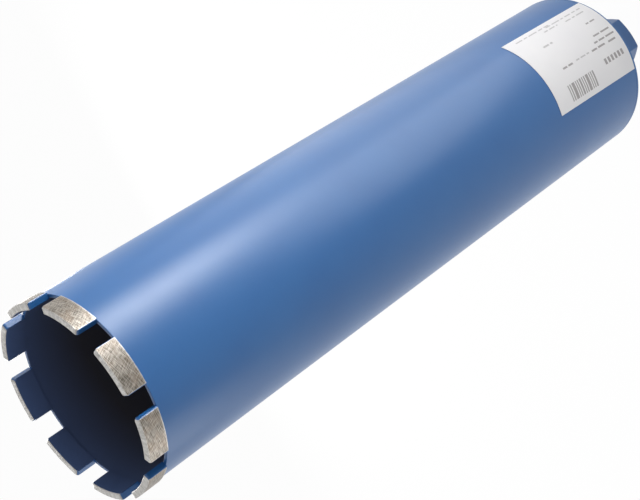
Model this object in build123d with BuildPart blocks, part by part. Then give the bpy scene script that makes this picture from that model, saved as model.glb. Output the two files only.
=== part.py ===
from build123d import *
import math
import os

# Diamond core bit, 112 mm over its segments and 450 mm from cutting tips to end plate.
# A rolled steel barrel carries nine diamond segments on its rim. The other end is closed by a
# turned plate, and a hexagonal hub, tapped 1-1/4"-7 UNC, stands welded in the middle of that
# plate and screws onto the drill's spindle. Water comes through the hub into the barrel.
#
# Millimetres. The origin is the centre of the hub's end face, and +Z runs up the axis to the
# cutting tips, so the bit stands on its hub with the crown open upwards.

# --- Driving dimensions ---------------------------------------------------------------------

# Crown
bit_diameter = 112.0  # over the segments, which is the hole that the bit drills
segment_count = 9
segment_height = 12.0  # from the barrel's rim to the cutting tip
segment_arc = 26.8  # along the outer face
side_relief = 1.0  # how far a segment stands proud of the barrel outside
core_relief = 0.8  # how far it stands proud inside
segment_corner_radius = 1.6  # the tip's two ends, seen from the side
segment_edge_break = 0.35  # the worn edges along the two curved faces
first_segment_angle = -90.0

# Barrel
drilling_length = 450.0  # from the end plate's outer face to the cutting tips
barrel_wall = 2.0
barrel_edge_break = 0.3

# End plate
plate_rim_thickness = 3.0  # the flange that the barrel butts against
plate_spigot_height = 7.0  # the step that centres the barrel
plate_clearance = 0.05  # radial, in the barrel
plate_edge_chamfer = 1.0
plate_spigot_chamfer = 1.0

# Hub
hub_flats = 41.0  # across flats
hub_height = 56.0  # from the end face to the end plate
hub_neck_diameter = 40.0  # turned foot, where the weld runs
hub_neck_height = 6.0
hub_spigot_diameter = 36.0
hub_spigot_clearance = 0.05  # radial, in the end plate
hub_corner_chamfer_angle = 30.0  # turned on both ends of the hexagon

# Thread, as its plain envelope: the bore is cut at the major diameter of 1-1/4"-7 UNC
thread_diameter = 31.75
thread_depth = 45.0
thread_drill_diameter = 28.2
thread_mouth_chamfer = 1.2
drill_point_angle = 118.0
water_passage_diameter = 14.0

# Fillet weld round the hub's foot
weld_leg = 4.5

# Paper label, wrapped round the barrel beside the end plate and stuck on slightly askew
label_length = 88.4  # along the barrel
label_width = 62.2  # round the barrel
label_thickness = 0.15
label_adhesive = 0.12  # between the paper and the barrel
label_end_gap = 2.7  # from the end plate's outer face
label_angle = -82.1  # of its middle, round the barrel
label_skew = -1.05

# --- Worked out from them -------------------------------------------------------------------

bit_radius = bit_diameter / 2
barrel_radius = bit_radius - side_relief
barrel_bore_radius = barrel_radius - barrel_wall
core_radius = barrel_bore_radius - core_relief

plate_bottom = hub_height
barrel_bottom = plate_bottom + plate_rim_thickness
plate_top = barrel_bottom + plate_spigot_height
tip_level = plate_bottom + drilling_length
rim_level = tip_level - segment_height

os.makedirs("parts", exist_ok=True)

# --- Barrel: plain tube, its edges broken ---------------------------------------------------

with BuildPart() as barrel:
    with BuildSketch(Plane.XY.offset(barrel_bottom)):
        Circle(barrel_radius)
        Circle(barrel_bore_radius, mode=Mode.SUBTRACT)
    extrude(amount=rim_level - barrel_bottom)
    chamfer(barrel.edges(), length=barrel_edge_break)

barrel.part.label = "barrel"
export_step(barrel.part, "parts/barrel.step")

# --- End plate: a flange with a spigot that fits the barrel's bore ---------------------------

plate_spigot_radius = barrel_bore_radius - plate_clearance
plate_bore_radius = hub_spigot_diameter / 2 + hub_spigot_clearance

with BuildPart() as end_plate:
    with BuildSketch(Plane.XY.offset(plate_bottom)):
        Circle(barrel_radius)
    extrude(amount=plate_rim_thickness)
    chamfer(end_plate.edges().group_by(Axis.Z)[0], length=plate_edge_chamfer)
    chamfer(end_plate.edges().group_by(Axis.Z)[-1], length=barrel_edge_break)
    with BuildSketch(Plane.XY.offset(barrel_bottom)):
        Circle(plate_spigot_radius)
    extrude(amount=plate_spigot_height)
    chamfer(end_plate.edges().group_by(Axis.Z)[-1], length=plate_spigot_chamfer)
    with BuildSketch(Plane.XY.offset(plate_bottom)):
        Circle(plate_bore_radius)
    extrude(amount=plate_top - plate_bottom, mode=Mode.SUBTRACT)

end_plate.part.label = "end_plate"
export_step(end_plate.part, "parts/end_plate.step")

# --- Hub: hexagon bar, turned at both ends, bored and tapped from below -----------------------

hex_height = hub_height - hub_neck_height
hex_corner_radius = hub_flats / 2 / math.cos(math.radians(30))
corner_drop = (hex_corner_radius - hub_flats / 2) * math.tan(math.radians(hub_corner_chamfer_angle))

thread_radius = thread_diameter / 2
mouth_radius = thread_radius + thread_mouth_chamfer
drill_radius = thread_drill_diameter / 2
passage_radius = water_passage_diameter / 2
drill_point = (drill_radius - passage_radius) / math.tan(math.radians(drill_point_angle / 2))

with BuildPart() as threaded_hub:
    with BuildSketch():
        RegularPolygon(radius=hub_flats / 2, side_count=6, major_radius=False)
    extrude(amount=hex_height)
    # The lathe takes a shallow cone off the corners at each end of the hexagon
    with BuildSketch(Plane.XZ):
        with BuildLine():
            Polyline(
                (0, 0),
                (hub_flats / 2, 0),
                (hex_corner_radius, corner_drop),
                (hex_corner_radius, hex_height - corner_drop),
                (hub_flats / 2, hex_height),
                (0, hex_height),
                close=True,
            )
        make_face()
    revolve(axis=Axis.Z, mode=Mode.INTERSECT)
    with BuildSketch(Plane.XY.offset(hex_height)):
        Circle(hub_neck_diameter / 2)
    extrude(amount=hub_neck_height)
    with BuildSketch(Plane.XY.offset(hub_height)):
        Circle(hub_spigot_diameter / 2)
    extrude(amount=plate_top - plate_bottom)
    # Chamfered mouth, threaded length, drill point and water passage, as one turned cavity
    with BuildSketch(Plane.XZ):
        with BuildLine():
            Polyline(
                (0, 0),
                (mouth_radius, 0),
                (thread_radius, thread_mouth_chamfer),
                (thread_radius, thread_depth),
                (drill_radius, thread_depth),
                (passage_radius, thread_depth + drill_point),
                (passage_radius, plate_top),
                (0, plate_top),
                close=True,
            )
        make_face()
    revolve(axis=Axis.Z, mode=Mode.SUBTRACT)

threaded_hub.part.label = "threaded_hub"
export_step(threaded_hub.part, "parts/threaded_hub.step")

# --- Fillet weld between the hub's neck and the end plate -------------------------------------

weld_root = Vector(hub_neck_diameter / 2, plate_bottom)
weld_toe_on_plate = weld_root + Vector(weld_leg, 0)
weld_toe_on_neck = weld_root - Vector(0, weld_leg)

with BuildPart() as hub_weld:
    with BuildSketch(Plane.XZ):
        with BuildLine():
            Polyline(weld_toe_on_neck, weld_root, weld_toe_on_plate, close=True)
        make_face()
    revolve(axis=Axis.Z)

hub_weld.part.label = "hub_weld"
export_step(hub_weld.part, "parts/hub_weld.step")

# --- Segments: curved blocks brazed on the rim, proud of the wall on both sides ----------------

segment_span = math.degrees(segment_arc / bit_radius)
segment_pitch = 360 / segment_count

for index in range(segment_count):
    start_angle = first_segment_angle + index * segment_pitch - segment_span / 2
    with BuildPart() as segment:
        with BuildSketch(Plane.XY.offset(rim_level)):
            with BuildLine():
                outer_arc = CenterArc((0, 0), bit_radius, start_angle, segment_span)
                inner_arc = CenterArc((0, 0), core_radius, start_angle, segment_span)
                Line(outer_arc @ 0, inner_arc @ 0)
                Line(outer_arc @ 1, inner_arc @ 1)
            make_face()
        extrude(amount=segment_height)
        tip_ends = segment.edges().group_by(Axis.Z)[-1].filter_by(GeomType.LINE)
        fillet(tip_ends, radius=segment_corner_radius)
        curved_faces = segment.faces().filter_by(GeomType.CYLINDER).sort_by(SortBy.AREA)[-2:]
        worn_edges = [
            edge
            for face in curved_faces
            for edge in face.edges()
            if edge.center().Z > rim_level + segment_edge_break
        ]
        chamfer(worn_edges, length=segment_edge_break)

    segment.part.label = f"segment_{index + 1}"
    export_step(segment.part, f"parts/segment_{index + 1}.step")

# --- Label: a rectangle of paper that lies on the barrel --------------------------------------

label_middle = plate_bottom + label_end_gap + label_length / 2
label_chord = 2 * barrel_radius * math.sin(label_width / barrel_radius / 2)
outward = Vector(1, 0, 0).rotate(Axis.Z, label_angle)
sideways = Vector(0, 1, 0).rotate(Axis.Z, label_angle)
label_plane = Plane(origin=(0, 0, label_middle), x_dir=sideways, z_dir=outward)

label_inner_radius = barrel_radius + label_adhesive
label_outer_radius = label_inner_radius + label_thickness

with BuildPart() as label:
    with BuildSketch(Plane.XY.offset(label_middle - label_length)):
        Circle(label_outer_radius)
        Circle(label_inner_radius, mode=Mode.SUBTRACT)
    extrude(amount=2 * label_length)
    with BuildSketch(label_plane):
        Rectangle(label_chord, label_length, rotation=label_skew)
    extrude(amount=label_outer_radius, mode=Mode.INTERSECT)

label.part.label = "label"
export_step(label.part, "parts/label.step")
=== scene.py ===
import math

import bpy
import numpy as np
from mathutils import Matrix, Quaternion, Vector


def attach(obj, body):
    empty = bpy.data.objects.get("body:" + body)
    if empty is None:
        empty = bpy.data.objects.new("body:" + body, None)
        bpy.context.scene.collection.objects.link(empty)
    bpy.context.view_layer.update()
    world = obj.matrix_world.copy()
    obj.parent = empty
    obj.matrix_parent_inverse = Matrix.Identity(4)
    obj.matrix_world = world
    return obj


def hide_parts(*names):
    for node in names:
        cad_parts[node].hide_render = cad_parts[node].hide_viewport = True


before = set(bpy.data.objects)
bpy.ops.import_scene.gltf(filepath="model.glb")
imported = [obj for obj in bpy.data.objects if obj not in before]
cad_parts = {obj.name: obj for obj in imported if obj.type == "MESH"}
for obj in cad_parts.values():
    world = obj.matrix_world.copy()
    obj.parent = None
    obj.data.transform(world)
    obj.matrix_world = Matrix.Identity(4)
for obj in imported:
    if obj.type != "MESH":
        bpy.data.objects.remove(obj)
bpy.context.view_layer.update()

# --- Camera -----------------------------------------------------------------------------------
# The bit stands on its hub. The camera looks down past the crown and along the barrel, turned
# on its own axis, so that the bit lies across the view with the crown at the lower left.

view_target = Vector((-0.0051, 0.0002, 0.3266))
view_distance = 0.7226
view_azimuth = math.radians(1.775)
view_elevation = math.radians(36.889)
view_roll = math.radians(-123.949)
sensor_width = 36.0
focal_length = 70.3

looking = Vector((
    math.sin(view_azimuth) * math.cos(view_elevation),
    math.cos(view_azimuth) * math.cos(view_elevation),
    -math.sin(view_elevation),
))
lens = bpy.data.cameras.new("camera")
lens.sensor_width = sensor_width
lens.lens = focal_length
camera = bpy.data.objects.new("camera", lens)
camera.location = view_target - looking * view_distance
camera.rotation_mode = "QUATERNION"
camera.rotation_quaternion = looking.to_track_quat("-Z", "Y") @ Quaternion((0, 0, 1), view_roll)
bpy.context.scene.collection.objects.link(camera)
bpy.context.scene.camera = camera
bpy.context.scene.view_settings.view_transform = "Standard"

# --- Studio floor -----------------------------------------------------------------------------
# A wide sheet of matt white card under the bit. It shows as white to the eye and in what
# shines, and a share of its own shading is kept, which holds the soft shadow.

floor_reach = 5.0
floor_shading_share = 0.03


def node(tree, kind, settings=None, inputs=None):
    """Adds one node with its settings; each input is given a value, or is linked to an output."""
    made = tree.nodes.new(kind)
    for name, value in (settings or {}).items():
        setattr(made, name, value)
    for key, value in (inputs or {}).items():
        if isinstance(value, bpy.types.NodeSocket):
            tree.links.new(value, made.inputs[key])
        else:
            made.inputs[key].default_value = value
    return made


def linear(code):
    """An sRGB hex colour as linear red, green, blue and a full alpha. A dark channel is divided
    by 12.92; any other has 0.055 added, is divided by 1.055 and raised to the power 2.4."""
    channels = [int(code[i : i + 2], 16) / 255 for i in (0, 2, 4)]
    return [c / 12.92 if c < 0.04045 else ((c + 0.055) / 1.055) ** 2.4 for c in channels] + [1.0]


def empty_material(name):
    """A material with nothing in it yet, and its node tree."""
    material = bpy.data.materials.new(name)
    material.use_nodes = True
    material.node_tree.nodes.clear()
    return material, material.node_tree


def seen_as_background(tree):
    """1 for the rays that look at the background straight, or by way of a shine or a glass."""
    path = node(tree, "ShaderNodeLightPath")
    eye_or_shine = node(
        tree,
        "ShaderNodeMath",
        {"operation": "MAXIMUM"},
        {0: path.outputs["Is Camera Ray"], 1: path.outputs["Is Glossy Ray"]},
    )
    return node(
        tree,
        "ShaderNodeMath",
        {"operation": "MAXIMUM"},
        {0: eye_or_shine.outputs[0], 1: path.outputs["Is Transmission Ray"]},
    ).outputs[0]


card, card_tree = empty_material("white_card")
card_shaded = node(card_tree, "ShaderNodeBsdfDiffuse", None, {"Color": linear("F2F2F2")})
card_white = node(
    card_tree, "ShaderNodeEmission", None, {"Color": linear("FFFFFF"), "Strength": 1.0}
)
white_share = node(
    card_tree,
    "ShaderNodeMath",
    {"operation": "MULTIPLY"},
    {0: seen_as_background(card_tree), 1: 1 - floor_shading_share},
)
card_surface = node(
    card_tree,
    "ShaderNodeMixShader",
    None,
    {0: white_share.outputs[0], 1: card_shaded.outputs[0], 2: card_white.outputs[0]},
)
node(card_tree, "ShaderNodeOutputMaterial", None, {"Surface": card_surface.outputs[0]})

floor_corners = [
    (-floor_reach, -floor_reach, 0),
    (floor_reach, -floor_reach, 0),
    (floor_reach, floor_reach, 0),
    (-floor_reach, floor_reach, 0),
]
floor_mesh = bpy.data.meshes.new("floor")
floor_mesh.from_pydata(floor_corners, [], [(0, 1, 2, 3)])
floor_mesh.materials.append(card)
floor = bpy.data.objects.new("floor", floor_mesh)
bpy.context.scene.collection.objects.link(floor)

# --- Studio light -----------------------------------------------------------------------------
# Upright soft boxes stand round the bit. Flat ones lie on the floor beside it, shine up and
# throw the long pale band up the barrel, and a gridded one picks out the crown. The walls of
# a pale room give the rest.

room_strength = 0.325
box_middle = 0.34
box_height = 0.46
lying_level = 0.01


def softbox(name, azimuth, distance, width, power, lying=None, aside=0.0):
    """A soft lamp at that azimuth and distance from the axis. It stands upright and faces the
    axis, or, given a depth, it lies on the floor and shines up. It may stand a little aside of
    that azimuth, on the anticlockwise side."""
    lamp = bpy.data.lights.new(name, "AREA")
    lamp.shape = "RECTANGLE"
    lamp.size = width
    lamp.size_y = lying or box_height
    lamp.energy = power
    box = bpy.data.objects.new(name, lamp)
    turn = math.radians(azimuth)
    box.location = (
        distance * math.cos(turn) - aside * math.sin(turn),
        distance * math.sin(turn) + aside * math.cos(turn),
        lying_level if lying else box_middle,
    )
    box.rotation_euler = (math.pi if lying else math.pi / 2, 0, turn + math.pi / 2)
    box.visible_camera = False
    bpy.context.scene.collection.objects.link(box)
    return box


softbox("key_box", azimuth=-64, distance=0.66, width=0.16, power=0.7)
for name, distance, depth, aside, power in (
    ("near_box", 0.2075, 0.105, -0.21, 0.31),
    ("near_right_box", 0.2075, 0.105, 0.21, 0.125),
    ("middle_box", 0.5175, 0.515, -0.21, 1.9),
    ("middle_right_box", 0.5175, 0.515, 0.21, 0.9),
):
    softbox(name, azimuth=-28, distance=distance, width=0.42, power=power, lying=depth, aside=aside)
softbox("back_box", azimuth=80, distance=0.70, width=0.45, power=5.9)
softbox("left_box", azimuth=178, distance=0.70, width=0.50, power=1.4)
softbox("right_box", azimuth=28, distance=0.70, width=0.50, power=0.4)

# A low box with a grid over it is aimed up at the crown alone
crown_box_middle = 0.11
crown_box_height = 0.24
crown_box_tilt = math.radians(28)
crown_box_grid = math.radians(36)

crown_box = softbox("crown_box", azimuth=-41, distance=0.76, width=0.8, power=0.41)
crown_box.data.size_y = crown_box_height
crown_box.data.spread = crown_box_grid
crown_box.location.z = crown_box_middle
crown_box.rotation_euler.x = math.pi / 2 + crown_box_tilt

room = bpy.data.worlds.new("pale_room")
room.use_nodes = True
room_tree = room.node_tree
room_tree.nodes.clear()
room_light = node(
    room_tree,
    "ShaderNodeBackground",
    None,
    {"Color": linear("FFFFFF"), "Strength": room_strength},
)
room_white = node(
    room_tree, "ShaderNodeBackground", None, {"Color": linear("FFFFFF"), "Strength": 1.0}
)
room_surface = node(
    room_tree,
    "ShaderNodeMixShader",
    None,
    {0: seen_as_background(room_tree), 1: room_light.outputs[0], 2: room_white.outputs[0]},
)
node(room_tree, "ShaderNodeOutputWorld", None, {"Surface": room_surface.outputs[0]})
bpy.context.scene.world = room

# --- Barrel -----------------------------------------------------------------------------------
# The barrel is steel strip rolled to a 110 mm tube, 2 mm in the wall, and powder coated blue
# inside and out after the segments are on. Its ends are cut square and their edges broken.

# The bit's sizes are in millimetres, and this turns them into Blender's metres
mm = 0.001

barrel_radius = 55.0
barrel_bore_radius = 53.0
barrel_foot = 59.0
barrel_rim = 494.0
barrel_edge_radius = 0.3
crown_mouth = 506.0
painted_shade_reach = 45.0
turned_columns = 288
arc_points = 5
corner_points = arc_points + 2
side_hold = 0.4


def to_mesh(name, points, material):
    """Makes an object of a grid of points in mm, rows by columns. Both the rows and the columns
    close on themselves, and each cell is a four-sided face."""
    place = np.arange(points.shape[0] * points.shape[1]).reshape(points.shape[:2])
    above = np.roll(place, -1, axis=0)
    cells = np.stack(
        [place, np.roll(place, -1, axis=1), np.roll(above, -1, axis=1), above], axis=-1
    )
    mesh = bpy.data.meshes.new(name)
    mesh.from_pydata((points.reshape(-1, 3) * mm).tolist(), [], cells.reshape(-1, 4).tolist())
    mesh.polygons.foreach_set("use_smooth", np.ones(len(mesh.polygons), bool))
    mesh.materials.append(material)
    mesh.update()
    made = bpy.data.objects.new(name, mesh)
    bpy.context.scene.collection.objects.link(made)
    return made


def rounded(corners, radius):
    """Rounds each corner of a closed profile. The arc touches both sides at the radius over the
    tangent of half the corner's angle, and its centre lies on the bisector, at the radius over
    the sine of that half. Its points swing evenly from the first touching point to the second:
    each is the sum of both, seen from the centre, weighted by the sines of the swing still to
    come and of the swing done, over the sine of the whole. One point more along each side holds
    the flats flat."""
    corner = np.array(corners, float)
    back = np.roll(corner, 1, axis=0) - corner
    on = np.roll(corner, -1, axis=0) - corner
    back_way = back / np.linalg.norm(back, axis=1)[:, None]
    on_way = on / np.linalg.norm(on, axis=1)[:, None]
    half = np.arccos(np.clip(np.sum(back_way * on_way, axis=1), -1, 1)) / 2
    reach = (radius / np.tan(half))[:, None]
    bisector = back_way + on_way
    bisector = bisector / np.linalg.norm(bisector, axis=1)[:, None]
    centre = corner + bisector * (radius / np.sin(half))[:, None]
    start = (corner + back_way * reach - centre)[:, None]
    end = (corner + on_way * reach - centre)[:, None]
    share = np.linspace(0, 1, arc_points)[None, :, None]
    turn = (math.pi - 2 * half)[:, None, None]
    swung = (np.sin((1 - share) * turn) * start + np.sin(share * turn) * end) / np.sin(turn)
    arc = swung + centre[:, None]
    hold = radius * side_hold
    before = (corner + back_way * (reach + hold))[:, None]
    after = (corner + on_way * (reach + hold))[:, None]
    return np.concatenate([before, arc, after], axis=1).reshape(-1, 2)


def about_axis(radius, angle, height):
    """Points at that radius, angle and height: x and y are the radius times the cosine and the
    sine of the angle, and z is the height."""
    return np.stack(
        np.broadcast_arrays(radius * np.cos(angle), radius * np.sin(angle), height), axis=-1
    )


def turned(profile):
    """Carries a profile of radius and height once round the axis."""
    angle = np.linspace(0, 2 * math.pi, turned_columns, endpoint=False)
    return about_axis(profile[:, :1], angle, profile[:, 1:])


def whereabouts(tree):
    """Where a point of the surface is: its place, that place on three axes apart, and its
    distance from the bit's axis, which is the length of its place with the height left out."""
    place = node(tree, "ShaderNodeTexCoord").outputs["Object"]
    axes = node(tree, "ShaderNodeSeparateXYZ", None, {0: place}).outputs
    level = node(tree, "ShaderNodeCombineXYZ", None, {0: axes[0], 1: axes[1]})
    radius = node(tree, "ShaderNodeVectorMath", {"operation": "LENGTH"}, {0: level.outputs[0]})
    return place, axes, radius.outputs["Value"]


def powder_coat(tree, inner_radius):
    """Colour, roughness and normal of the coat. Outside, the blue is a little deeper where the
    powder fell thick, in clouds some 30 mm wide. Inside that radius the blue is painted shade
    and light: over 45 mm it goes from a paler blue, painted light at the mouth, to a dark grey,
    painted shade deep in the bore. The film has the orange peel of a powder that flowed in the
    oven. Its swells are drawn shallow and 1.6 mm apart, because the real ones are too fine to show."""
    place, axes, radius = whereabouts(tree)
    clouds = node(
        tree, "ShaderNodeTexNoise", None, {"Vector": place, "Scale": 1 / (30 * mm), "Detail": 3.0}
    )
    outside = node(
        tree,
        "ShaderNodeMix",
        {"data_type": "RGBA"},
        {"Factor": clouds.outputs["Fac"], 6: linear("28609D"), 7: linear("306AA6")},
    )
    depth = node(
        tree,
        "ShaderNodeMapRange",
        None,
        {
            "Value": axes[2],
            "From Min": (crown_mouth - painted_shade_reach) * mm,
            "From Max": crown_mouth * mm,
        },
    )
    # Painted shade: inside the bore the blue is painted darker the deeper it lies, from a paler
    # blue painted at the mouth to a dark grey deep in
    inside = node(
        tree,
        "ShaderNodeMix",
        {"data_type": "RGBA"},
        {"Factor": depth.outputs[0], 6: linear("58575F"), 7: linear("6079AC")},
    )
    # The change from one to the other is hidden in the broken edge of the inner face
    within_bore = node(
        tree,
        "ShaderNodeMapRange",
        None,
        {
            "Value": radius,
            "From Min": (inner_radius + 0.05) * mm,
            "From Max": (inner_radius + 0.3) * mm,
            "To Min": 1.0,
            "To Max": 0.0,
        },
    )
    above_foot = node(
        tree,
        "ShaderNodeMath",
        {"operation": "GREATER_THAN"},
        {0: axes[2], 1: (barrel_foot + 0.5) * mm},
    )
    within = node(
        tree,
        "ShaderNodeMath",
        {"operation": "MULTIPLY"},
        {0: within_bore.outputs[0], 1: above_foot.outputs[0]},
    )
    blue = node(
        tree,
        "ShaderNodeMix",
        {"data_type": "RGBA"},
        {"Factor": within.outputs[0], 6: outside.outputs[2], 7: inside.outputs[2]},
    )
    patches = node(
        tree, "ShaderNodeTexNoise", None, {"Vector": place, "Scale": 1 / (12 * mm), "Detail": 2.0}
    )
    satin = node(
        tree,
        "ShaderNodeMapRange",
        None,
        {"Value": patches.outputs["Fac"], "To Min": 0.30, "To Max": 0.36},
    )
    swells = node(
        tree, "ShaderNodeTexNoise", None, {"Vector": place, "Scale": 1 / (1.6 * mm), "Detail": 1.0}
    )
    peel = node(
        tree,
        "ShaderNodeBump",
        None,
        {"Height": swells.outputs["Fac"], "Strength": 0.25, "Distance": 0.04 * mm},
    )
    return blue.outputs[2], satin.outputs[0], peel.outputs[0]


# Polyester powder, sprayed and baked: a satin, dielectric film
blue_coat, coat_tree = empty_material("blue_powder_coat")
coat_colour, coat_roughness, coat_normal = powder_coat(coat_tree, barrel_bore_radius)
coat_film = node(
    coat_tree,
    "ShaderNodeBsdfPrincipled",
    None,
    {"Base Color": coat_colour, "Roughness": coat_roughness, "Normal": coat_normal, "IOR": 1.5},
)
node(coat_tree, "ShaderNodeOutputMaterial", None, {"Surface": coat_film.outputs[0]})

wall = rounded(
    [
        (barrel_bore_radius, barrel_foot),
        (barrel_radius, barrel_foot),
        (barrel_radius, barrel_rim),
        (barrel_bore_radius, barrel_rim),
    ],
    barrel_edge_radius,
)
tube = to_mesh("barrel_tube", turned(wall), blue_coat)
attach(tube, "root")
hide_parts("barrel")

# --- End plate --------------------------------------------------------------------------------
# A turned steel disc. Its flange closes the barrel's foot and its step centres the barrel.
# It is welded in and coated with the rest, which fills its edges softly.

plate_foot = 56.0
plate_top = 66.0
plate_bore_radius = 18.05
plate_step_radius = 52.95
plate_chamfer = 1.0
plate_edge_radius = 0.25
seat_gap = 0.02

disc = rounded(
    [
        (plate_bore_radius, plate_foot),
        (barrel_radius - plate_chamfer, plate_foot),
        (barrel_radius, plate_foot + plate_chamfer),
        (barrel_radius, barrel_foot - seat_gap),
        (plate_step_radius, barrel_foot - seat_gap),
        (plate_step_radius, plate_top - plate_chamfer),
        (plate_step_radius - plate_chamfer, plate_top),
        (plate_bore_radius, plate_top),
    ],
    plate_edge_radius,
)
plate = to_mesh("end_plate_disc", turned(disc), blue_coat)
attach(plate, "root")
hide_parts("end_plate")

# --- Hub --------------------------------------------------------------------------------------
# Hexagon bar, 41 mm across its flats, turned at both ends and on a neck that enters the end
# plate. It is bored for water and tapped 1-1/4"-7 UNC from below for the drill's spindle.

hub_flats = 41.0
hub_hex_top = 50.0
hub_neck_radius = 20.0
hub_spigot_radius = 18.0
hub_corner_slope = math.tan(math.radians(30))
hub_edge_radius = 0.2
edge_sharpness = 90.0

thread_pitch = 25.4 / 7
thread_root_radius = 31.75 / 2
thread_crest_radius = 28.2 / 2
thread_end = 45.0
thread_runout = 5.0
thread_flank_slope = 2.6
thread_crest_flat = 0.35
mouth_radius = 17.1
passage_radius = 7.0
drill_cone_top = 49.3

# Rows stand close along the turned edges and columns crowd towards the hexagon's corners
hub_columns = 288
column_crowding = 0.1
first_row = 0.05
edge_band = 2.4
edge_rows = 18
flat_start = 4.0
flat_rows = 6
thread_rows_per_pitch = 12
thread_top_row = thread_end - 0.6
row_past_mouth = 0.3
row_inside_flats = 0.4

even_angle = np.linspace(0, 2 * math.pi, hub_columns, endpoint=False)
hub_angle = even_angle - column_crowding * np.sin(6 * even_angle)


def softer(first, second):
    """The smaller of two radii, with the edge between them rounded off: the sum of both, each
    to a negative power, brought back to a radius."""
    return (first**-edge_sharpness + second**-edge_sharpness) ** (-1 / edge_sharpness)


def hexagon(angle):
    """Radius of the hexagon bar. A flat's radius is half the width across flats, over the cosine
    of the angle from the flat's middle. The two flats beside the nearest corner are blended,
    which eases the corner."""
    from_corner = (angle + math.pi / 6) % (math.pi / 3) - math.pi / 6
    left = hub_flats / 2 / np.cos(from_corner + math.pi / 6)
    right = hub_flats / 2 / np.cos(from_corner - math.pi / 6)
    return softer(left, right)


def hub_outside(height):
    """Radius of the hub's outside: the hexagon, cut by a shallow cone at each of its ends."""
    z = height[:, None]
    cone = hub_flats / 2 + np.minimum(z, hub_hex_top - z) / hub_corner_slope
    return softer(hexagon(hub_angle)[None, :] + 0 * z, cone)


def hub_bore(height):
    """Radius of the tapped bore. The ridge follows a right-hand helix, one pitch to a turn:
    its phase is the height over the pitch less the angle over a full turn. Flanks of 60
    degrees join a narrow crest to a narrow root, the last turns run out at the drill's
    radius, and the mouth is countersunk at 45 degrees."""
    z = height[:, None]
    phase = (z / thread_pitch - hub_angle / (2 * math.pi)) % 1.0
    from_crest = 0.5 - np.abs(phase - 0.5)
    groove = np.clip(from_crest * thread_flank_slope - thread_crest_flat, 0, 1)
    groove = groove * groove * (3 - 2 * groove)
    full_depth = thread_root_radius - thread_crest_radius
    depth = full_depth * np.clip((thread_end - z) / thread_runout, 0, 1)
    return np.maximum(thread_crest_radius + groove * depth, mouth_radius - z)


def round_rows(profile):
    """Radius and height of round rows of the hub, one for each point of a turned profile."""
    return np.array(profile, float).T[:, :, None] + 0 * hub_angle


hex_heights = np.concatenate(
    [
        np.linspace(first_row, edge_band, edge_rows),
        np.linspace(flat_start, hub_hex_top - flat_start, flat_rows),
        np.linspace(hub_hex_top - edge_band, hub_hex_top - first_row, edge_rows),
    ]
)
outside_rows = np.stack([hub_outside(hex_heights), hex_heights[:, None] + 0 * hub_angle])

# The first and the last corner only lead in and out, and are cut off again
shoulder = rounded(
    [
        (hub_flats / 2, hub_hex_top),
        (hub_neck_radius, hub_hex_top),
        (hub_neck_radius, plate_foot - seat_gap),
        (hub_spigot_radius, plate_foot - seat_gap),
        (hub_spigot_radius, plate_top),
        (passage_radius, plate_top),
        (passage_radius, drill_cone_top),
        (thread_crest_radius, thread_end),
        (thread_crest_radius, 0.0),
    ],
    hub_edge_radius,
)[corner_points:-corner_points]
thread_heights = np.arange(thread_top_row, first_row, -thread_pitch / thread_rows_per_pitch)
bore_rows = np.stack([hub_bore(thread_heights), thread_heights[:, None] + 0 * hub_angle])
end_face = [
    (mouth_radius, 0.0),
    (mouth_radius + row_past_mouth, 0.0),
    (hub_flats / 2 - row_inside_flats, 0.0),
]
hub_rows = np.concatenate(
    [outside_rows, round_rows(shoulder), bore_rows, round_rows(end_face)], axis=1
)
hub = to_mesh("hexagon_hub", about_axis(hub_rows[0], hub_angle, hub_rows[1]), blue_coat)

# The thread and its countersink are plugged while the powder goes on, so they are cut steel,
# grey and oiled, with the fine rings of the tap and the drill 0.5 mm apart
cut_steel, cut_tree = empty_material("cut_and_oiled_steel")
ring_place = node(
    cut_tree,
    "ShaderNodeMapping",
    {"vector_type": "TEXTURE"},
    {
        "Vector": node(cut_tree, "ShaderNodeTexCoord").outputs["Object"],
        "Scale": (30 * mm, 30 * mm, 0.5 * mm),
    },
)
rings = node(
    cut_tree,
    "ShaderNodeTexNoise",
    None,
    {"Vector": ring_place.outputs[0], "Scale": 1.0, "Detail": 2.0},
)
oiled = node(
    cut_tree,
    "ShaderNodeMix",
    {"data_type": "RGBA"},
    {"Factor": rings.outputs["Fac"], 6: linear("6F6C68"), 7: linear("96938E")},
)
oil_sheen = node(
    cut_tree,
    "ShaderNodeMapRange",
    None,
    {"Value": rings.outputs["Fac"], "To Min": 0.25, "To Max": 0.45},
)
cut_surface = node(
    cut_tree,
    "ShaderNodeBsdfPrincipled",
    None,
    {"Base Color": oiled.outputs[2], "Metallic": 1.0, "Roughness": oil_sheen.outputs[0]},
)
node(cut_tree, "ShaderNodeOutputMaterial", None, {"Surface": cut_surface.outputs[0]})

hub.data.materials.append(cut_steel)
first_bore_row = outside_rows.shape[1] + len(shoulder)
bare_rows = np.zeros(hub_rows.shape[1], int)
bare_rows[first_bore_row - 1 : 1 - len(end_face)] = 1
hub.data.polygons.foreach_set("material_index", np.repeat(bare_rows, hub_columns))
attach(hub, "root")
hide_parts("threaded_hub")

# --- Weld round the hub -----------------------------------------------------------------------
# One fillet run joins the neck to the end plate. The pool froze in crescents as the arc went
# round, and the coat has softened them.

weld_leg = 4.5
weld_crown = 0.35
ripples = 62
ripple_height = 0.12
ripple_bow = 0.8
ripple_fall = 1.5
ripple_columns = 12
weld_rows = 13


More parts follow.
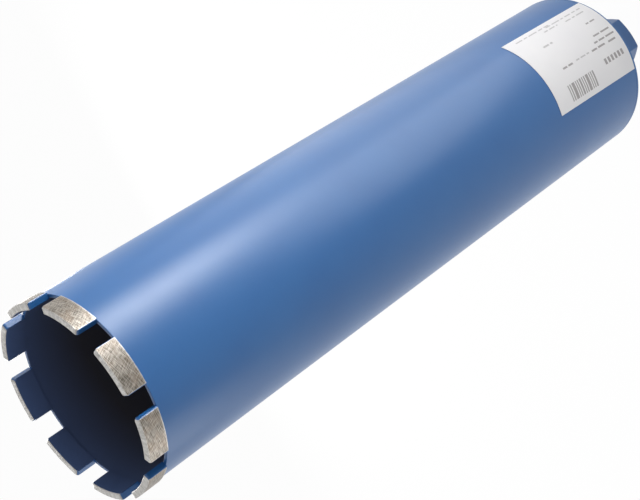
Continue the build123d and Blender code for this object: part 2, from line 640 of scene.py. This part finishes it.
def weld_face(share, angle):
    """Radius and height of the bead's face at a share of its way from the neck to the plate. It
    runs straight at 45 degrees and is raised square to that by an arch, the sine of half a turn
    times the share. Each ripple starts high and falls off as a power of what is left of it, and
    its middle runs out of step with its ends, as in a crescent."""
    arch = np.sin(math.pi * share)
    phase = (angle * ripples / (2 * math.pi) + ripple_bow * arch) % 1.0
    raised = (weld_crown + ripple_height * (1 - phase) ** ripple_fall) * arch
    radius = hub_neck_radius + weld_leg * share + raised * math.sqrt(0.5)
    height = plate_foot - weld_leg + weld_leg * share - raised * math.sqrt(0.5)
    return radius, np.minimum(height, plate_foot - seat_gap)


weld_angle = np.linspace(0, 2 * math.pi, ripples * ripple_columns, endpoint=False)
weld_radius, weld_height = weld_face(np.linspace(0, 1, weld_rows)[:, None], weld_angle)

# The last row is the root of the bead, in the corner between the neck and the plate
root_row = np.ones((1, len(weld_angle)))
weld_radius = np.concatenate([weld_radius, hub_neck_radius * root_row])
weld_height = np.concatenate([weld_height, (plate_foot - seat_gap) * root_row])
weld = to_mesh("hub_weld_bead", about_axis(weld_radius, weld_angle, weld_height), blue_coat)
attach(weld, "root")
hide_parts("hub_weld")

# --- Segments ---------------------------------------------------------------------------------
# Nine sintered blocks of diamond in a steel bond stand on the rim, proud of the wall on both
# sides. The coat covers them, and then the outer faces and tips are ground bare to open the
# diamond, which leaves crossed grinding marks and a ragged edge of blue.

segment_count = 9
segment_outer_radius = 56.0
segment_inner_radius = 52.2
segment_half_arc = 13.4
segment_foot = 494.0
segment_tip = 506.0
segment_half_pitch = math.radians(20)
turn_to_a_middle = math.radians(10)

ground_steel, steel_tree = empty_material("ground_segment_steel")
steel_place, steel_axes, steel_radius = whereabouts(steel_tree)
steel_angle = node(
    steel_tree, "ShaderNodeMath", {"operation": "ARCTAN2"}, {0: steel_axes[1], 1: steel_axes[0]}
)
round_rim = node(
    steel_tree,
    "ShaderNodeMath",
    {"operation": "MULTIPLY"},
    {0: steel_angle.outputs[0], 1: segment_outer_radius * mm},
)
unrolled = node(
    steel_tree,
    "ShaderNodeCombineXYZ",
    None,
    {0: round_rim.outputs[0], 1: steel_axes[2], 2: steel_radius},
)


def grinding(turn, length, spacing):
    """Scratches along a line at that turn from the rim: noise on the unrolled face, squeezed
    to the spacing across the line and drawn out to the length along it, both in mm."""
    laid = node(
        steel_tree,
        "ShaderNodeMapping",
        {"vector_type": "TEXTURE"},
        {
            "Vector": unrolled.outputs[0],
            "Rotation": (0, 0, math.radians(turn)),
            "Scale": (length * mm, spacing * mm, 4 * mm),
        },
    )
    return node(
        steel_tree,
        "ShaderNodeTexNoise",
        None,
        {"Vector": laid.outputs[0], "Scale": 1.0, "Detail": 2.0},
    ).outputs["Fac"]


# Marks about 0.5 mm apart: the real grit leaves finer ones, too fine to show
crossed = node(
    steel_tree,
    "ShaderNodeMath",
    {"operation": "ADD"},
    {
        0: grinding(turn=12.0, length=5.0, spacing=0.50),
        1: grinding(turn=-62.0, length=4.5, spacing=0.48),
    },
)
marks = node(
    steel_tree,
    "ShaderNodeMapRange",
    None,
    {"Value": crossed.outputs[0], "From Min": 0.75, "From Max": 1.25},
)
steel = node(
    steel_tree,
    "ShaderNodeMix",
    {"data_type": "RGBA"},
    {"Factor": marks.outputs[0], 6: linear("565149"), 7: linear("A59F97")},
)

# Heat of the brazing left brown patches some 6 mm wide
heat = node(
    steel_tree,
    "ShaderNodeTexNoise",
    None,
    {"Vector": steel_place, "Scale": 1 / (6 * mm), "Detail": 2.0},
)
brown = node(
    steel_tree,
    "ShaderNodeMapRange",
    None,
    {"Value": heat.outputs["Fac"], "From Min": 0.45, "From Max": 0.75, "To Max": 0.35},
)
tinged = node(
    steel_tree,
    "ShaderNodeMix",
    {"data_type": "RGBA"},
    {"Factor": brown.outputs[0], 6: steel.outputs[2], 7: linear("86705C")},
)

# How far a point is from the middle of its segment, along the rim
middle_angle = node(
    steel_tree,
    "ShaderNodeMath",
    {"operation": "ADD"},
    {0: steel_angle.outputs[0], 1: turn_to_a_middle},
)
angle_off_middle = node(
    steel_tree,
    "ShaderNodeMath",
    {"operation": "PINGPONG"},
    {0: middle_angle.outputs[0], 1: segment_half_pitch},
)
off_middle = node(
    steel_tree,
    "ShaderNodeMath",
    {"operation": "MULTIPLY"},
    {0: angle_off_middle.outputs[0], 1: segment_outer_radius * mm},
)

# The edge between the coat and the bare steel wanders, in speckles 1.5 mm wide
speckle = node(
    steel_tree,
    "ShaderNodeTexNoise",
    None,
    {"Vector": steel_place, "Scale": 1 / (1.5 * mm), "Detail": 2.0},
)
wander = node(
    steel_tree,
    "ShaderNodeMapRange",
    None,
    {"Value": speckle.outputs["Fac"], "To Min": -0.18 * mm, "To Max": 0.18 * mm},
)
outwards = node(
    steel_tree, "ShaderNodeMath", {"operation": "ADD"}, {0: steel_radius, 1: wander.outputs[0]}
)
upwards = node(
    steel_tree, "ShaderNodeMath", {"operation": "ADD"}, {0: steel_axes[2], 1: wander.outputs[0]}
)

# Each mask is 0 up to its first distance from an edge, 1 from its second one on, and slopes
# between the two, in mm. Along the edges of the ends, the foot and the tip the steel is painted
# lighter, as burnish and as a painted highlight where the edges glint. The outer face and the
# tip are ground bare to just inside theirs, and the ends keep their coat
masks = {}
for name, distance, edge, first, second in (
    ("end burnish and highlight", off_middle.outputs[0], segment_half_arc, -0.75, -0.45),
    ("foot burnish and highlight", steel_axes[2], segment_foot, 0.8, 0.3),
    ("tip burnish and highlight", steel_axes[2], segment_tip, -0.6, -0.35),
    ("ground face", outwards.outputs[0], segment_outer_radius, -0.42, -0.34),
    ("ground tip", upwards.outputs[0], segment_tip, -0.42, -0.34),
    ("off the end", off_middle.outputs[0], segment_half_arc, -0.26, -0.38),
):
    masks[name] = node(
        steel_tree,
        "ShaderNodeMapRange",
        None,
        {"Value": distance, "From Min": (edge + first) * mm, "From Max": (edge + second) * mm},
    ).outputs[0]

burnish_and_highlight_below = node(
    steel_tree,
    "ShaderNodeMath",
    {"operation": "MAXIMUM"},
    {0: masks["end burnish and highlight"], 1: masks["foot burnish and highlight"]},
)
burnish_and_highlight = node(
    steel_tree,
    "ShaderNodeMath",
    {"operation": "MAXIMUM"},
    {0: burnish_and_highlight_below.outputs[0], 1: masks["tip burnish and highlight"]},
)
# Painted highlight and burnish: the edges get a lighter steel than the ground faces
burnish_and_highlight_steel = node(
    steel_tree,
    "ShaderNodeMix",
    {"data_type": "RGBA"},
    {"Factor": marks.outputs[0], 6: linear("918F8B"), 7: linear("BCBAB7")},
)
bare_colour = node(
    steel_tree,
    "ShaderNodeMix",
    {"data_type": "RGBA"},
    {"Factor": burnish_and_highlight.outputs[0], 6: tinged.outputs[2], 7: burnish_and_highlight_steel.outputs[2]},
)
ground = node(
    steel_tree,
    "ShaderNodeMath",
    {"operation": "MAXIMUM"},
    {0: masks["ground face"], 1: masks["ground tip"]},
)
bare = node(
    steel_tree,
    "ShaderNodeMath",
    {"operation": "MULTIPLY"},
    {0: ground.outputs[0], 1: masks["off the end"]},
).outputs[0]

# Where the steel isn't bare, the segment wears the same coat as the barrel
film_colour, film_roughness, film_normal = powder_coat(steel_tree, segment_inner_radius)
segment_colour = node(
    steel_tree,
    "ShaderNodeMix",
    {"data_type": "RGBA"},
    {"Factor": bare, 6: film_colour, 7: bare_colour.outputs[2]},
)
segment_roughness = node(
    steel_tree, "ShaderNodeMix", None, {"Factor": bare, "A": film_roughness, "B": 0.42}
)
scratched = node(
    steel_tree,
    "ShaderNodeBump",
    None,
    {"Height": marks.outputs[0], "Strength": 0.5, "Distance": 0.06 * mm, "Normal": film_normal},
)
segment_normal = node(
    steel_tree,
    "ShaderNodeMix",
    {"data_type": "VECTOR"},
    {"Factor": bare, 4: film_normal, 5: scratched.outputs[0]},
)
segment_surface = node(
    steel_tree,
    "ShaderNodeBsdfPrincipled",
    None,
    {
        "Base Color": segment_colour.outputs[2],
        "Metallic": bare,
        "Roughness": segment_roughness.outputs[0],
        "Normal": segment_normal.outputs[1],
    },
)
node(steel_tree, "ShaderNodeOutputMaterial", None, {"Surface": segment_surface.outputs[0]})

for index in range(segment_count):
    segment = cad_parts[f"segment_{index + 1}"]
    segment.material_slots[0].material = ground_steel

# --- Label ------------------------------------------------------------------------------------
# Coated white paper, stuck round the barrel beside the end plate, a little askew. Its print is
# plain bars and blocks of grey ink.

label_middle = 102.9
label_angle = math.radians(-82.1)
label_skew = math.radians(-1.05)
label_outer_radius = 55.27
print_lift = 0.03
bar_columns = 9

# The fibres are drawn 0.6 mm wide, because real ones are too fine to show
paper, paper_tree = empty_material("coated_label_paper")
paper_place = node(paper_tree, "ShaderNodeTexCoord").outputs["Object"]
shade = node(
    paper_tree,
    "ShaderNodeTexNoise",
    None,
    {"Vector": paper_place, "Scale": 1 / (20 * mm), "Detail": 2.0},
)
tone = node(
    paper_tree,
    "ShaderNodeMix",
    {"data_type": "RGBA"},
    {"Factor": shade.outputs["Fac"], 6: linear("EDECEE"), 7: linear("F4F3F3")},
)
fibres = node(
    paper_tree,
    "ShaderNodeTexNoise",
    None,
    {"Vector": paper_place, "Scale": 1 / (0.6 * mm), "Detail": 3.0},
)
cockle = node(
    paper_tree,
    "ShaderNodeBump",
    None,
    {"Height": fibres.outputs["Fac"], "Strength": 0.15, "Distance": 0.02 * mm},
)
sheet = node(
    paper_tree,
    "ShaderNodeBsdfPrincipled",
    None,
    {
        "Base Color": tone.outputs[2],
        "Roughness": 0.6,
        "IOR": 1.45,
        "Specular IOR Level": 0.1,
        "Normal": cockle.outputs[0],
    },
)
node(paper_tree, "ShaderNodeOutputMaterial", None, {"Surface": sheet.outputs[0]})

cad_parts["label"].material_slots[0].material = paper


def print_ink(name, thin, thick):
    """Thermal print: a flat grey that breaks up into dots, lighter where it is thin. They are
    drawn 0.8 mm wide, because the real ones are too fine to show."""
    ink, tree = empty_material(name)
    place = node(tree, "ShaderNodeTexCoord").outputs["Object"]
    dots = node(
        tree, "ShaderNodeTexNoise", None, {"Vector": place, "Scale": 1 / (0.8 * mm), "Detail": 2.0}
    )
    density = node(
        tree,
        "ShaderNodeMix",
        {"data_type": "RGBA"},
        {"Factor": dots.outputs["Fac"], 6: linear(thin), 7: linear(thick)},
    )
    film = node(
        tree,
        "ShaderNodeBsdfPrincipled",
        None,
        {"Base Color": density.outputs[2], "Roughness": 0.5},
    )
    node(tree, "ShaderNodeOutputMaterial", None, {"Surface": film.outputs[0]})
    return ink


def printed_row(around, start, width, lengths, gap):
    """One row of print along the label, all at one distance round it: bars of those lengths one
    after the other, a gap apart. Each bar is the place of its middle round and along the label,
    then its size round and along."""
    starts = start - np.cumsum([0.0] + [length + gap for length in lengths[:-1]])
    return [(around, at - length / 2, width, length) for at, length in zip(starts, lengths)]


def on_label(around, along, radius):
    """A point on the label, from its distances round and along the barrel from the label's
    middle: both are turned by the skew, the first is then an angle, an arc over the radius."""
    round_barrel = around * math.cos(label_skew) - along * math.sin(label_skew)
    up_barrel = around * math.sin(label_skew) + along * math.cos(label_skew)
    angle = label_angle + round_barrel / label_outer_radius
    return about_axis(radius, angle, label_middle + up_barrel)


# Each row's distance round the label, start along it, bar width, bar lengths and gap
pale_rows = [
    (27.2, 34.0, 1.0, [7.0, 3.5, 9.0, 4.5, 5.0], 1.8),
    (26.1, 2.0, 1.0, [5.0, 8.5, 3.0, 6.5, 4.0, 4.0], 1.8),
    (23.4, 7.5, 1.0, [4.0, 6.0, 1.6], 1.8),
    (22.2, -15.5, 1.0, [6.0, 3.0, 8.4], 1.8),
    (13.5, 22.0, 1.4, [6.0, 2.4], 1.6),
    (-5.4, 7.5, 1.0, [3.5, 5.5, 2.8], 1.6),
]
dark_rows = [
    (12.5, -26.0, 1.1, [3.0, 5.4], 1.6),
    (2.3, -21.75, 1.2, [7.0, 9.9], 1.6),
    (-2.0, -17.75, 1.2, [4.0, 6.5, 9.8], 1.6),
    (-5.7, 23.0, 1.3, [4.5, 4.9], 1.6),
    (-5.7, -10.75, 1.3, [6.0, 7.9], 1.6),
    (-6.0, -30.45, 1.3, [8.5], 1.6),
    (-16.2, -16.4, 4.0, [2.4] * 6, 1.6),
    (-21.8, 28.6, 11.0, [1.0, 1.2, 3.0, 1.0, 1.1, 1.8, 1.0, 1.2, 2.8, 1.0, 1.1, 1.5], 1.1),
]
pale_bars = [bar for row in pale_rows for bar in printed_row(*row)]
dark_bars = [bar for row in dark_rows for bar in printed_row(*row)]

# A bar is a strip of faces round the barrel: its columns share its size round the label out
# evenly, and its two rows are its ends along the label
bars = np.array(pale_bars + dark_bars)[:, :, None, None]
around = bars[:, 0] + bars[:, 2] * np.linspace(-0.5, 0.5, bar_columns)[:, None]
along = bars[:, 1] + bars[:, 3] * np.array([-0.5, 0.5])
print_points = on_label(around, along, label_outer_radius + print_lift)
place = np.arange(len(bars) * bar_columns * 2).reshape(len(bars), bar_columns, 2)
print_cells = np.stack(
    [place[:, :-1, 0], place[:, 1:, 0], place[:, 1:, 1], place[:, :-1, 1]], axis=-1
)
is_dark = np.arange(len(bars)) >= len(pale_bars)
print_mesh = bpy.data.meshes.new("label_print")
print_mesh.from_pydata(
    (print_points.reshape(-1, 3) * mm).tolist(), [], print_cells.reshape(-1, 4).tolist()
)
print_mesh.materials.append(print_ink("pale_thermal_print", "D2D0D1", "BAB8B9"))
print_mesh.materials.append(print_ink("dark_thermal_print", "B7B3B3", "918D8D"))
print_mesh.polygons.foreach_set(
    "material_index", np.repeat(is_dark, bar_columns - 1).astype(int)
)
label_print = bpy.data.objects.new("label_print", print_mesh)
bpy.context.scene.collection.objects.link(label_print)
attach(label_print, "root")
